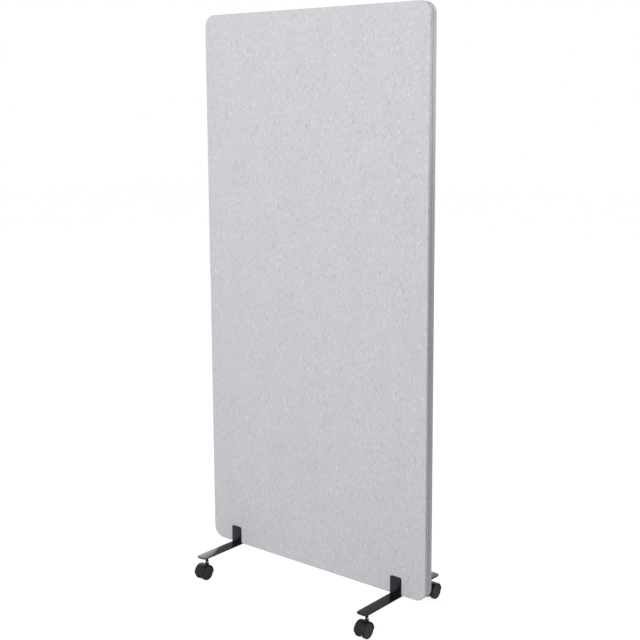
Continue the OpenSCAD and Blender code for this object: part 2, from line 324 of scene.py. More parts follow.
class Nodes:
    """Adds and links nodes in one tree."""

    def __init__(self, tree):
        self.tree = tree

    def add(self, kind, **settings):
        node = self.tree.nodes.new(kind)
        for name, value in settings.items():
            setattr(node, name, value)
        return node

    def feed(self, source, target):
        if isinstance(source, (int, float, tuple)):
            target.default_value = source
        else:
            self.tree.links.new(source, target)

    def math(self, operation, *values, clamp=False):
        node = self.add("ShaderNodeMath", operation=operation, use_clamp=clamp)
        for socket, value in zip(node.inputs, values):
            self.feed(value, socket)
        return node.outputs[0]

    def vector(self, operation, *values):
        node = self.add("ShaderNodeVectorMath", operation=operation)
        for socket, value in zip(node.inputs, values):
            self.feed(value, socket)
        return node.outputs[0]

    def even(self, value):
        """A vector with the same value on every axis."""
        node = self.add("ShaderNodeCombineXYZ")
        for socket in node.inputs:
            self.feed(value, socket)
        return node.outputs[0]

    def parts(self, vector):
        """The three numbers of a vector."""
        node = self.add("ShaderNodeSeparateXYZ")
        self.feed(vector, node.inputs[0])
        return node.outputs

    def grey(self, value):
        """A grey colour from one number."""
        node = self.add("ShaderNodeCombineColor")
        for socket in node.inputs:
            self.feed(value, socket)
        return node.outputs[0]

    def chance(self, first, second):
        """Random numbers for each pair of whole numbers: one value, and three more as a vector."""
        pair = self.add("ShaderNodeCombineXYZ")
        self.feed(first, pair.inputs[0])
        self.feed(second, pair.inputs[1])
        node = self.add("ShaderNodeTexWhiteNoise", noise_dimensions="2D")
        self.feed(pair.outputs[0], node.inputs["Vector"])
        return node.outputs["Value"], node.outputs["Color"]

    def soft_step(self, value, low, high):
        """0 before low and 1 after high, eased, with either end a number or a socket."""
        return self.spread(value, low, high, smooth=True)

    def yarn_marks(self, across, along, width, length, share, seed):
        """Masks of the light and the dark marks in the yarn, with places and sizes in threads.

        Each column of yarn, width wide, is cut into stretches of one length. A mark fills a random
        part of its stretch. This share of the marks is light, and as many are dark."""
        column_offset, latest_start, least_fill, more_fill = 37.0, 0.4, 0.2, 0.4
        end_fade, side_fade = 0.08, 0.25
        column_place = self.math("DIVIDE", across, width)
        column = self.math("ADD", self.math("FLOOR", column_place), seed)
        offset, _ = self.chance(column, seed)
        lengths_on = self.math("DIVIDE", along, length)
        row_place = self.math("MULTIPLY_ADD", offset, column_offset, lengths_on)
        row = self.math("FLOOR", row_place)
        pick, more = self.chance(column, row)
        start_share, length_share, _ = self.parts(more)
        start = self.math("MULTIPLY", start_share, latest_start)
        least_end = self.math("ADD", start, least_fill)
        end = self.math("MULTIPLY_ADD", length_share, more_fill, least_end)
        inside = self.math("FRACT", row_place)
        begun = self.soft_step(inside, start, self.math("ADD", start, end_fade))
        ended = self.soft_step(inside, end, self.math("SUBTRACT", end, end_fade))
        side = self.math("FRACT", column_place)
        left = self.soft_step(side, 0.0, side_fade)
        right = self.soft_step(side, 1.0, 1 - side_fade)
        edge = self.math("MULTIPLY", left, right)
        mark = self.math("MULTIPLY", self.math("MULTIPLY", begun, ended), edge)
        light = self.math("MULTIPLY", mark, self.math("GREATER_THAN", pick, 1 - share))
        dark = self.math("MULTIPLY", mark, self.math("LESS_THAN", pick, share))
        return light, dark

    def noise(self, where, scale, detail, roughness, output="Fac"):
        node = self.add("ShaderNodeTexNoise")
        self.feed(where, node.inputs["Vector"])
        self.feed(scale, node.inputs["Scale"])
        node.inputs["Detail"].default_value = detail
        node.inputs["Roughness"].default_value = roughness
        return node.outputs[output]

    def drawn_noise(self, where, per_metre, detail, roughness):
        """Noise with its own scale along each axis."""
        return self.noise(self.vector("MULTIPLY", where, per_metre), 1, detail, roughness)

    def scaled_sum(self, *terms):
        """The sum of values, each times its own weight: terms hold (weight, value)."""
        total = None
        for weight, value in terms:
            scaled = self.math("MULTIPLY", value, weight)
            total = scaled if total is None else self.math("ADD", total, scaled)
        return total

    def spread(self, value, low, high, to_low=0.0, to_high=1.0, smooth=False):
        node = self.add("ShaderNodeMapRange")
        node.interpolation_type = "SMOOTHSTEP" if smooth else "LINEAR"
        for name, number in zip(
            ("Value", "From Min", "From Max", "To Min", "To Max"),
            (value, low, high, to_low, to_high),
        ):
            self.feed(number, node.inputs[name])
        return node.outputs[0]

    def blend(self, factor, first, second, way="MIX"):
        node = self.add("ShaderNodeMix", data_type="RGBA", blend_type=way)
        self.feed(factor, node.inputs[0])
        self.feed(first, node.inputs[6])
        self.feed(second, node.inputs[7])
        return node.outputs[2]


def effect(name, inputs, outputs):
    """A new shader node group, with its nodes and the sockets of its two ends.

    inputs hold (name, socket type, default), and outputs hold (name, socket type)."""
    group = bpy.data.node_groups.new(name, "ShaderNodeTree")
    for label, kind, default in inputs:
        socket = group.interface.new_socket(label, in_out="INPUT", socket_type=kind)
        if default is not None:
            socket.default_value = default
    for label, kind in outputs:
        group.interface.new_socket(label, in_out="OUTPUT", socket_type=kind)
    nodes = Nodes(group)
    return group, nodes, nodes.add("NodeGroupInput").outputs, nodes.add("NodeGroupOutput").inputs


FLOAT, COLOUR, VECTOR = "NodeSocketFloat", "NodeSocketColor", "NodeSocketVector"


def make_heathered_weave():
    """Plain weave of heathered yarn, with its thread pitch, fleck colours and their strength."""
    group, n, given, out = effect(
        "heathered_weave",
        [
            ("Place", VECTOR, None), ("Pitch", FLOAT, 0.001),
            ("Ground", COLOUR, (0.6, 0.6, 0.6, 1)), ("Light Fleck", COLOUR, (0.7, 0.7, 0.7, 1)),
            ("Dark Fleck", COLOUR, (0.4, 0.4, 0.4, 1)), ("Flecks", FLOAT, 1.0),
        ],
        [("Colour", COLOUR), ("Height", FLOAT), ("Roughness", FLOAT)],
    )
    place, pitch = given["Place"], given["Pitch"]

    # The threads wander a little to either side of their even pitch.
    wander_scale, wander_by = 90, 1.1 * MM
    wander = n.vector("SUBTRACT", n.noise(place, wander_scale, 2, 0.5, "Color"), (0.5, 0.5, 0.5))
    shifted = n.vector("ADD", place, n.vector("MULTIPLY", wander, (wander_by, wander_by, 0)))
    threads = n.vector("DIVIDE", shifted, n.even(pitch))
    across, along = n.parts(threads)[:2]

    # Each thread is a round ridge that dips at its sides, and warp and weft take turns on top.
    roundness, dip = 0.6, 0.55

    def ridge(threads_on):
        return n.math("ABSOLUTE", n.math("SINE", n.math("MULTIPLY", threads_on, math.pi)))

    def on_top(thread, crossing):
        rounded_thread = n.math("POWER", thread, roundness)
        return n.math("MULTIPLY", rounded_thread, n.spread(crossing, 0, 1, dip, 1))

    warp, weft = ridge(across), ridge(along)
    over = n.add("ShaderNodeTexChecker")
    n.feed(threads, over.inputs["Vector"])
    over.inputs["Scale"].default_value = 1
    picked = n.add("ShaderNodeMix", data_type="FLOAT")
    n.feed(over.outputs["Fac"], picked.inputs[0])
    n.feed(on_top(warp, weft), picked.inputs[2])
    n.feed(on_top(weft, warp), picked.inputs[3])
    weave = picked.outputs[0]

    # Slubs in the warp, thinner stretches of odd yarn between them, and a few slubs in the weft.
    slub_light, slub_dark = n.yarn_marks(across, along, width=2.4, length=24, share=0.07, seed=3)
    thin_light, thin_dark = n.yarn_marks(across, along, width=1.0, length=17, share=0.15, seed=11)
    weft_light, weft_dark = n.yarn_marks(along, across, width=2.0, length=13, share=0.03, seed=29)
    thin_strength = 0.7
    colour = given["Ground"]
    for slub, weft_slub, thin, fleck in (
        (slub_dark, weft_dark, thin_dark, "Dark Fleck"),
        (slub_light, weft_light, thin_light, "Light Fleck"),
    ):
        faint = n.math("MULTIPLY", thin, thin_strength)
        mark = n.math("MAXIMUM", n.math("MAXIMUM", slub, weft_slub), faint)
        shown = n.math("MULTIPLY", mark, given["Flecks"], clamp=True)
        colour = n.blend(shown, colour, given[fleck])

    # Broad clouds, fine streaks along the warp, and painted shade darkening the gaps between the
    # threads.
    clouds = n.drawn_noise(place, (14, 5, 1), 3, 0.5)
    streaks = n.drawn_noise(place, (400, 80, 1), 1, 0.5)
    tone = n.spread(clouds, 0.3, 0.7, 0.985, 1.015)
    tone = n.math("MULTIPLY", tone, n.spread(streaks, 0.25, 0.75, 0.905, 1.095))
    # Painted shade: the tone falls in the gaps between the threads and rises on their tops.
    tone = n.math("MULTIPLY", tone, n.spread(weave, 0, 1, 0.86, 1.06))
    n.feed(n.blend(1.0, colour, n.grey(tone), "MULTIPLY"), out["Colour"])

    fibres = n.drawn_noise(place, (3800, 2200, 3000), 3, 0.6)
    slubs = n.math("ADD", slub_light, slub_dark)
    n.feed(n.scaled_sum((0.72, weave), (0.22, fibres), (0.06, slubs)), out["Height"])
    n.feed(n.spread(weave, 0, 1, 0.98, 0.86), out["Roughness"])
    return group


def make_fine_grain():
    """Uneven tone, roughness and fine relief of a coated or moulded surface."""
    group, n, given, out = effect(
        "fine_grain",
        [
            ("Grain Size", FLOAT, 0.001), ("Colour", COLOUR, (0.03, 0.03, 0.03, 1)),
            ("Tone Change", FLOAT, 0.2), ("Roughness", FLOAT, 0.4),
            ("Roughness Change", FLOAT, 0.1),
        ],
        [("Colour", COLOUR), ("Roughness", FLOAT), ("Height", FLOAT)],
    )
    patch_scale = 38
    place = n.add("ShaderNodeTexCoord").outputs["Object"]
    grain = n.noise(n.vector("DIVIDE", place, n.even(given["Grain Size"])), 1, 2, 0.5)
    patches = n.noise(place, patch_scale, 4, 0.6)
    tone = n.math("MULTIPLY_ADD", n.math("SUBTRACT", patches, 0.5), given["Tone Change"], 1.0)
    n.feed(n.blend(1.0, given["Colour"], n.grey(tone), "MULTIPLY"), out["Colour"])
    uneven = n.math("SUBTRACT", n.scaled_sum((0.5, grain), (0.5, patches)), 0.5)
    roughness = n.math("MULTIPLY_ADD", uneven, given["Roughness Change"], given["Roughness"])
    n.feed(roughness, out["Roughness"])
    n.feed(grain, out["Height"])
    return group


def make_dust():
    """Pale dust in patches, low on a piece: the height where it ends, and its amount."""
    group, n, given, out = effect(
        "floor_dust",
        [
            ("Colour", COLOUR, (0.03, 0.03, 0.03, 1)), ("Dust", COLOUR, (0.25, 0.24, 0.23, 1)),
            ("Top", FLOAT, 0.04), ("Amount", FLOAT, 0.2),
        ],
        [("Colour", COLOUR)],
    )
    patch_scale = 260
    place = n.add("ShaderNodeTexCoord").outputs["Object"]
    low = n.spread(n.parts(place)[2], given["Top"], 0.0, smooth=True)
    patchy = n.spread(n.noise(place, patch_scale, 5, 0.65), 0.42, 0.72)
    settled = n.math("MULTIPLY", n.math("MULTIPLY", low, patchy), given["Amount"], clamp=True)
    n.feed(n.blend(settled, given["Colour"], given["Dust"]), out["Colour"])
    return group


heathered_weave = make_heathered_weave()
fine_grain = make_fine_grain()
floor_dust = make_dust()


def new_material(name, flat_colour, **fixed):
    """A material with plain values set on its Principled shader, its nodes and that shader."""
    material = bpy.data.materials.new(name)
    material.use_nodes = True
    material.diffuse_color = (*flat_colour, 1)
    shader = material.node_tree.nodes["Principled BSDF"]
    for socket, value in fixed.items():
        shader.inputs[socket.replace("_", " ")].default_value = value
    return material, Nodes(material.node_tree), shader


def placed_group(n, group, **values):
    """A group put in a material with its own values; returns its outputs."""
    node = n.add("ShaderNodeGroup", node_tree=group)
    for name, value in values.items():
        n.feed(value, node.inputs[name.replace("_", " ")])
    return node.outputs


def relief(n, shader, height, depth):
    """Feeds a height into the shader's normal, its full range depth high."""
    bump = n.add("ShaderNodeBump")
    bump.inputs["Distance"].default_value = depth
    n.feed(height, bump.inputs["Height"])
    n.feed(bump.outputs[0], shader.inputs["Normal"])


# ------------------------------------------------------------ finishes


def past_corner_centre(n, cut_place):
    """How far a point of the cut cloth lies outside the rectangle between the corner centres."""
    half = (panel_w / 2 - corner_r, panel_h / 2 - corner_r, 0)
    past = n.vector("SUBTRACT", n.vector("ABSOLUTE", cut_place), half)
    x, y = n.parts(n.vector("MAXIMUM", past, (0, 0, 0)))[:2]
    return n.math("SQRT", n.math("ADD", n.math("MULTIPLY", x, x), n.math("MULTIPLY", y, y)))


def light_grey_cloth():
    """The covers' cloth, woven as it was cut, with painted shade darkening it where it turns in
    towards the groove.
    """
    turn_w, painted_groove_shade_strength, painted_groove_shade_colour = 6 * MM, 0.38, (0.2, 0.195, 0.21, 1)
    material, n, shader = new_material(
        "light_grey_cloth", (0.64, 0.63, 0.66),
        Specular_IOR_Level=0.25, Sheen_Weight=0.12, Sheen_Roughness=0.5,
    )
    cut = n.add("ShaderNodeUVMap", uv_map="cloth_cut").outputs[0]
    weave = placed_group(
        n, heathered_weave, Place=cut, Pitch=1.1 * MM, Ground=(0.625, 0.615, 0.648, 1),
        Light_Fleck=(0.76, 0.75, 0.785, 1), Dark_Fleck=(0.48, 0.47, 0.505, 1), Flecks=0.95,
    )
    # Painted shade: the cloth's colour is darkened over the last turn_w of its run, where it turns
    # in towards the groove between the two boards.
    turn = n.spread(past_corner_centre(n, cut), fold_run - turn_w, fold_run, smooth=True)
    cloth_with_painted_groove_shade = n.blend(n.math("MULTIPLY", turn, painted_groove_shade_strength), weave["Colour"], painted_groove_shade_colour)
    n.feed(cloth_with_painted_groove_shade, shader.inputs["Base Color"])
    n.feed(weave["Roughness"], shader.inputs["Roughness"])
    relief(n, shader, weave["Height"], 0.22 * MM)
    return material


def grained(name, flat_colour, depth, grain, dust=None, **fixed):
    """A finish with fine grain in its tone, roughness and relief, and dust on it where given."""
    material, n, shader = new_material(name, flat_colour, **fixed)
    surface = placed_group(n, fine_grain, **grain)
    colour = surface["Colour"]
    if dust:
        colour = placed_group(n, floor_dust, Colour=colour, **dust)["Colour"]
    n.feed(colour, shader.inputs["Base Color"])
    n.feed(surface["Roughness"], shader.inputs["Roughness"])
    relief(n, shader, surface["Height"], depth)
    return material


def black_powder_coat(name, roughness):
    grain = dict(
        Grain_Size=1.1 * MM, Colour=(0.006, 0.0055, 0.0095, 1), Tone_Change=0.3,
        Roughness=roughness, Roughness_Change=0.08,
    )
    return grained(name, (0.03, 0.03, 0.033), 0.008 * MM, grain, Specular_IOR_Level=0.28)


def black_nylon(name, colour, grain_size, roughness, dust):
    grain = dict(
        Grain_Size=grain_size, Colour=colour, Tone_Change=0.3,
        Roughness=roughness, Roughness_Change=0.16,
    )
    dusting = dict(Top=30 * MM, Amount=dust)
    flat_colour = (0.025, 0.025, 0.028)
    return grained(name, flat_colour, 0.03 * MM, grain, dusting, Specular_IOR_Level=0.18)


def bare_metal(name, flat_colour, colour, grain_size, roughness, depth):
    grain = dict(
        Grain_Size=grain_size, Colour=colour, Tone_Change=0.2,
        Roughness=roughness, Roughness_Change=0.2,
    )
    return grained(name, flat_colour, depth, grain, Metallic=1.0)


def raw_wood(name, colour, grain_size):
    grain = dict(
        Grain_Size=grain_size, Colour=colour, Tone_Change=0.5,
        Roughness=0.85, Roughness_Change=0.1,
    )
    return grained(name, colour[:3], 0.08 * MM, grain)


cloth = light_grey_cloth()
powder_coat = black_powder_coat("black_powder_coat", 0.2)
matt_powder_coat = black_powder_coat("matt_black_powder_coat", 0.55)
hood_nylon = black_nylon("hood_nylon", (0.012, 0.0115, 0.018, 1), 0.5 * MM, 0.42, 0.1)
# The wheels' black nylon is made darker than the hood's and the caps' as painted shade, standing
# in for the shade in the gap under the hood.
wheel_nylon_with_painted_shade = black_nylon("wheel_nylon_with_painted_shade", (0.004, 0.004, 0.005, 1), 0.6 * MM, 0.5, 0.2)
cap_nylon = black_nylon("cap_nylon", (0.01, 0.0095, 0.016, 1), 0.4 * MM, 0.38, 0.1)
zinc = bare_metal(
    "zinc_plate", (0.6, 0.61, 0.63), (0.74, 0.75, 0.77, 1), 0.5 * MM, 0.24, 0.01 * MM,
)
brass = bare_metal(
    "turned_brass", (0.6, 0.45, 0.2), (0.62, 0.46, 0.2, 1), 0.4 * MM, 0.3, 0.02 * MM,
)
fibreboard = raw_wood("fibreboard", (0.42, 0.29, 0.18, 1), 1.2 * MM)
beech = raw_wood("beech", (0.62, 0.46, 0.29, 1), 0.8 * MM)

# ------------------------------------------------------------ wrapped cloth

GRID_COLUMNS, GRID_ROWS = 24, 50
FACE_SHARES = (0.25, 0.6, 1.0)
ARC_STEPS = 5
SIDE_STEPS = 4
HEM_SHARES = (0.5, 1.0)
CORNER_STEPS = 14
PUCKERS = 9
PUCKERED_SHARE = 0.6


def wrap_path():
    """(inset from the panel's edge, height above the back, run of cloth from a corner's centre).

    It starts on the face, beside a corner's centre, and ends at the hem's raw edge behind."""
    turns = [math.pi / 2 * k / ARC_STEPS for k in range(1, ARC_STEPS + 1)]
    straight = board_t - face_edge_r - back_edge_r
    path = [(corner_r - share * (corner_r - face_edge_r), board_t) for share in FACE_SHARES]
    for a in turns:
        path.append((face_edge_r * (1 - math.sin(a)), board_t - face_edge_r * (1 - math.cos(a))))
    for k in range(1, SIDE_STEPS + 1):
        path.append((0.0, board_t - face_edge_r - straight * k / SIDE_STEPS))
    for a in turns:
        path.append((back_edge_r * (1 - math.cos(a)), back_edge_r * (1 - math.sin(a))))
    path += [(hem_w * share, 0.0) for share in HEM_SHARES]
    run, out = 0.0, []
    last = (corner_r, board_t)
    for inset, height in path:
        run += math.dist(last, (inset, height))
        last = (inset, height)
        out.append((inset, height, run))
    return out


def wrap_normal(inset, height):
    """The outward direction of the wrap at a point of its path, as (outward, up from the back)."""
    if height >= board_t - face_edge_r and inset <= face_edge_r:
        way = Vector((face_edge_r - inset, height - (board_t - face_edge_r)))
    elif height <= back_edge_r and inset <= back_edge_r:
        way = Vector((back_edge_r - inset, height - back_edge_r))
    elif height >= board_t - face_edge_r:
        way = Vector((0, 1))
    elif height <= back_edge_r:
        way = Vector((0, -1))
    else:
        way = Vector((1, 0))
    return way.normalized()


def border_stations():
    """(column, row, outward angle) round the face's grid, with each of its corners fanned out."""
    edges = (
        [(GRID_COLUMNS, j) for j in range(GRID_ROWS)],
        [(GRID_COLUMNS - i, GRID_ROWS) for i in range(GRID_COLUMNS)],
        [(0, GRID_ROWS - j) for j in range(GRID_ROWS)],
        [(i, 0) for i in range(GRID_COLUMNS)],
    )
    stations = []
    for edge, places in enumerate(edges):
        for c in range(CORNER_STEPS + 1):
            stations.append((*places[0], math.pi / 2 * (edge - 1 + c / CORNER_STEPS)))
        stations += [(i, j, math.pi / 2 * edge) for i, j in places[1:]]
    return stations


def pucker(height, angle):
    """How far the cloth stands out in the folds gathered round a corner, more towards the back."""
    low = max(0.0, 1 - height / (PUCKERED_SHARE * board_t))
    corner = (angle / (math.pi / 2)) % 1
    waves = math.sin(math.pi * corner) * math.sin(math.tau * PUCKERS * corner)
    return pucker_depth * low * waves


def wrapped_cover(name, side):
    """The cloth of one board: stretched over the face, round the edges and turned in behind."""
    bm = bmesh.new()
    cut_map = bm.loops.layers.uv.new("cloth_cut")
    place_on_cut = {}
    inner_w, inner_h = panel_w - 2 * corner_r, panel_h - 2 * corner_r
    stations = border_stations()

    def stitch(x, z, height, u, v):
        vert = bm.verts.new((x, z, height))
        place_on_cut[vert] = (u, v)
        return vert

    def sew(verts):
        made = bm.faces.new(verts)
        for loop in made.loops:
            loop[cut_map].uv = place_on_cut[loop.vert]

    def on_face(i, j):
        return inner_w * (i / GRID_COLUMNS - 0.5), inner_h * (j / GRID_ROWS - 0.5)

    def layer(depth):
        """One side of the cloth, depth below its outer one, as a grid and the rings round it."""
        level = board_t - depth
        grid = [
            [stitch(*on_face(i, j), level, *on_face(i, j)) for i in range(GRID_COLUMNS + 1)]
            for j in range(GRID_ROWS + 1)
        ]
        rings = []
        for inset, height, run in wrap_path():
            outward, up = wrap_normal(inset, height)
            ring = []
            for i, j, angle in stations:
                x, z = on_face(i, j)
                out = corner_r - inset + pucker(height, angle) - depth * outward
                ring.append(stitch(
                    x + out * math.cos(angle), z + out * math.sin(angle), height - depth * up,
                    x + run * math.cos(angle), z + run * math.sin(angle),
                ))
            rings.append(ring)
        return grid, rings

    def skin(grid, rings, flip):
        """Faces over the grid and round the rings, turned over if flip."""
        def face(*verts):
            unique = list(dict.fromkeys(verts))
            if len(unique) > 2:
                sew(unique[::-1] if flip else unique)

        for j in range(GRID_ROWS):
            for i in range(GRID_COLUMNS):
                face(grid[j][i], grid[j][i + 1], grid[j + 1][i + 1], grid[j + 1][i])
        first = [grid[j][i] for i, j, _ in stations]
        for lower, upper in zip([first] + rings, rings):
            for k in range(len(stations)):
                m = (k + 1) % len(stations)
                face(lower[k], upper[k], upper[m], lower[m])

    outer_grid, outer_rings = layer(0.0)
    inner_grid, inner_rings = layer(cloth_t)
    skin(outer_grid, outer_rings, False)
    skin(inner_grid, inner_rings, True)
    outer_edge, inner_edge = outer_rings[-1], inner_rings[-1]
    for k in range(len(stations)):
        m = (k + 1) % len(stations)
        sew((outer_edge[k], inner_edge[k], inner_edge[m], outer_edge[m]))
    lift = Matrix.Translation((0, 0, panel_z + panel_h / 2))
    upright = lift @ Matrix.Rotation(math.pi / 2, 4, "X")
    if side > 0:
        upright = Matrix.Rotation(math.pi, 4, "Z") @ upright
    moved(bm, upright)
    return piece(name, bm, [cloth], smooth_angle=60)


run_to_hem = wrap_path()[-1][2]

for side_name, side in SIDES.items():
    cover = wrapped_cover(f"{side_name}_cover", side)
    dressed(cover, "stand", f"{side_name}_fabric")

# ------------------------------------------------------------ feet


def countersink():
    """The hole for one foot screw, its mouth at z = 0."""
    wide = screw_head_d / 2 + screw_gap
    narrow = screw_d / 2 + screw_gap
    cone = wide - narrow
    profile = [
        (0, -CUT_PAST), (wide, -CUT_PAST), (wide, countersink_rim), (narrow, cone),
        (narrow, hole_reach), (0, hole_reach),
    ]
    return lathe(profile, SCREW_TURN)


def foot_plate(foot):
    """The flat bar of a foot, with its four countersunk holes, below the panel."""
    bar_w, bar_l, bar_t = bar_high - bar_low
    bar = plate(rounded_rectangle(bar_w, bar_l, bar_corner_r), bar_t, plate_edge_r)
    holes = [
        moved(countersink(), Matrix.Translation((x * screw_spacing / 2, y * board_t / 2, 0)))
        for x in (-1, 1) for y in (-1, 1)
    ]
    bar = combined(bar, holes, "DIFFERENCE")
    return moved(bar, Matrix.Translation((foot * foot_x, 0, bar_low.z)))


def tab_outline(width, height):
    """The tab seen flat: square at the foot, rounded at the top, from the bottom right round."""
    steps, r = 6, tab_corner_r
    out = [(width / 2, 0, 0.0)]
    for corner, sx in ((0, 1), (1, -1)):
        for k in range(steps + 1):
            a = math.pi / 2 * (corner + k / steps)
            x = sx * (width / 2 - r) + r * math.cos(a)
            out.append((x, height - r + r * math.sin(a), a))
    out.append((-width / 2, 0, math.pi))
    return out


def tab_plate(foot, side):
    """A tab with softened edges, standing on the bar."""
    width, thick, height = tab_high - tab_low
    bm = plate(tab_outline(width, height), thick, plate_edge_r)
    moved(bm, Matrix.Rotation(math.pi / 2, 4, "X"))
    place = Matrix.Translation((foot * foot_x, side * board_t, tab_low.z))
    if side > 0:
        place = place @ Matrix.Rotation(math.pi, 4, "Z")
    return moved(bm, place)


for foot_name, foot in FEET.items():
    bar = piece(f"{foot_name}_bar", foot_plate(foot), [powder_coat])
    dressed(bar, "stand", f"{foot_name}_foot_bar")
    for side_name, side in SIDES.items():
        tab = piece(f"{foot_name}_{side_name}_tab_plate", tab_plate(foot, side), [powder_coat])
        dressed(tab, "stand", f"{foot_name}_{side_name}_tab")

# ------------------------------------------------------------ casters


def caster_place(foot, side):
    """A caster is drawn with its swivel axis on Z and its wheels trailing towards -Y."""
    place = Matrix.Translation((foot * foot_x, side * swivel_y, 0))
    return place @ Matrix.Rotation(math.pi, 4, "Z") if side > 0 else place


def on_axle(bm, flip=False):
    """Turns what is drawn about Z onto the axle, its +Z along +X, or along -X if flipped."""
    across = Matrix.Rotation(math.pi / 2, 4, "Y") @ Matrix.Rotation(math.pi / 2, 4, "Z")
    if flip:
        across = Matrix.Rotation(math.pi, 4, "Z") @ across
    return moved(bm, Matrix.Translation((0, -trail, wheel_r)) @ across)


def sleeve():
    """The sleeve welded under the bar, flared to a short foot above the collar."""
    length = sleeve_high.z - sleeve_low.z
    bore = stem_r + sleeve_gap
    profile = rounded(
        [(bore, 0), (sleeve_foot_r, 0), (sleeve_foot_r, sleeve_foot_h),
         (sleeve_r, flare_h), (sleeve_r, length), (bore, length)],
        [0, 0.5 * MM, 0.8 * MM, 2 * MM, 0, 0],
    )
    return moved(lathe(profile, STEM_TURN), Matrix.Translation((0, 0, sleeve_low.z)))


def stem():
    """The caster's stem: a tip, a groove for the clip, the collar and the length in the sleeve."""
    collar_z = sleeve_low.z - collar_t
    tip_z = clip_z - stem_tip
    end_z = sleeve_low.z + stem_in_sleeve
    profile = rounded(
        [(0, tip_z), (stem_r, tip_z), (stem_r, clip_z), (groove_r, clip_z),
         (groove_r, clip_z + clip_t), (stem_r, clip_z + clip_t), (stem_r, collar_z),
         (collar_r, collar_z), (collar_r, sleeve_low.z), (stem_r, sleeve_low.z),
         (stem_r, end_z), (0, end_z)],
        [0, 0.5 * MM, 0, 0, 0, 0, 0, 0.3 * MM, 0.3 * MM, 0, 0.5 * MM, 0],
    )
    return lathe(profile, STEM_TURN)


def wheel():
    """One wheel, its axis on Z, from its inner face at z = 0 to its outer face."""
    bore = axle_r + running_gap
    rim = cap_r + cap_gap
    head = axle_head_r + axle_head_room
    profile = rounded(
        [
            (bore, 0), (hub_r, 0), (hub_r + dish_draft, dish_depth),
            (dish_r - dish_draft, dish_depth), (dish_r, 0), (wheel_r, 0), (wheel_r, wheel_w),
            (rim, wheel_w), (rim, cap_seat), (head, cap_seat),
            (head, cap_seat - axle_head_depth), (bore, cap_seat - axle_head_depth),
        ],
        [
            0, 0.3 * MM, 0.6 * MM, 0.6 * MM, 0.3 * MM, tread_edge_r, tread_edge_r * 0.8,
            0.4 * MM, 0, 0, 0, 0,
        ],
        steps=5,
    )
    return lathe(profile, FINE_TURN)


def cap():
    """The flat disk in a wheel's outer face, its edge eased and its middle slightly hollow."""
    top = cap_seat + cap_t
    edge = cap_r - cap_ease
    profile = rounded(
        [(0, cap_seat), (edge, cap_seat), (edge, top), (edge - cap_bevel_w, top),
         (edge - cap_bevel_end, top - cap_bevel_h), (0, top - cap_hollow)],
        [0, 0, 0.5 * MM, 0.4 * MM, 0.4 * MM, 0],
    )
    return lathe(profile, FINE_TURN)


def fender():
    """The half-round shell over both wheels, swept about the axle, with a slight crown."""
    sweep_steps, crown_steps, edge_steps, crown_share = 64, 5, 4, 0.94
    half = fender_w / 2
    shoulder = fender_r - fender_crown
    crown = [
        (fender_r - fender_crown * (s / crown_steps) ** 2, half * crown_share * s / crown_steps)
        for s in range(-crown_steps, crown_steps + 1)
    ]

    def edge(side, turns):
        return [
            (shoulder - fender_edge_r * (1 - math.cos(a)),
             side * (half - fender_edge_r * (1 - math.sin(a))))
            for a in turns
        ]

    rising = [math.pi / 2 * (1 - k / edge_steps) for k in range(edge_steps)]
    falling = [math.pi / 2 * k / edge_steps for k in range(1, edge_steps + 1)]
    section = (
        [(fender_in_r, half), (fender_in_r, -half)] + edge(-1, rising) + crown + edge(1, falling)
    )
    rings = []
    for k in range(sweep_steps + 1):
        angle = fender_start + (fender_end - fender_start) * k / sweep_steps
        rings.append([(r * math.cos(angle), r * math.sin(angle), z) for r, z in section])
    return skinned(rings)


def web():
    """The solid web between the wheels: a disk with its upper part carried out into the fender."""
    upper_steps, lower_steps = 40, 16
    sweep = fender_end - fender_start
    reach = fender_in_r + web_into_fender
    arc = [(reach, fender_start + sweep * k / upper_steps) for k in range(upper_steps + 1)]
    arc += [
        (web_r, fender_end + (math.tau - sweep) * k / lower_steps) for k in range(1, lower_steps)
    ]
    outline = [(r * math.cos(angle), r * math.sin(angle), angle) for r, angle in arc]
    return moved(plate(outline, web_t, web_edge_r), Matrix.Translation((0, 0, -web_t / 2)))


def pin(radius, low, high):
    """A plain round blank on Z, for a bore or a boss."""
    return lathe([(0, low), (radius, low), (radius, high), (0, high)], STEM_TURN)


def hood():
    """Fender, web, barrel and neck as one moulding, bored for the stem and the axle."""
    neck_z = wheel_r + math.sqrt(fender_r ** 2 - trail ** 2)
    profile = rounded(
        [(0, wheel_r), (neck_r + neck_flare, neck_z - neck_flare_h), (neck_r, neck_z),
         (neck_r, neck_h), (0, neck_h)],
        [0, 0, 2 * MM, 0.5 * MM, 0],
    )
    neck = lathe(profile, HOOD_TURN)
    barrel = pin(barrel_r, barrel_z, wheel_r + barrel_into_web)
    body = combined(on_axle(fender()), [on_axle(web()), barrel, neck], "UNION")
    stem_bore = pin(stem_r + running_gap, 0, bore_reach)
    clip_room = pin(clip_room_r, -CUT_PAST, barrel_z)
    axle_bore = on_axle(pin(axle_r, -web_t, web_t))
    return combined(body, [stem_bore, clip_room, axle_bore], "DIFFERENCE")


drawn = {
    "sleeve": sleeve(), "stem": stem(), "hood": hood(),
    "wheel": wheel(), "cap": cap(),
}

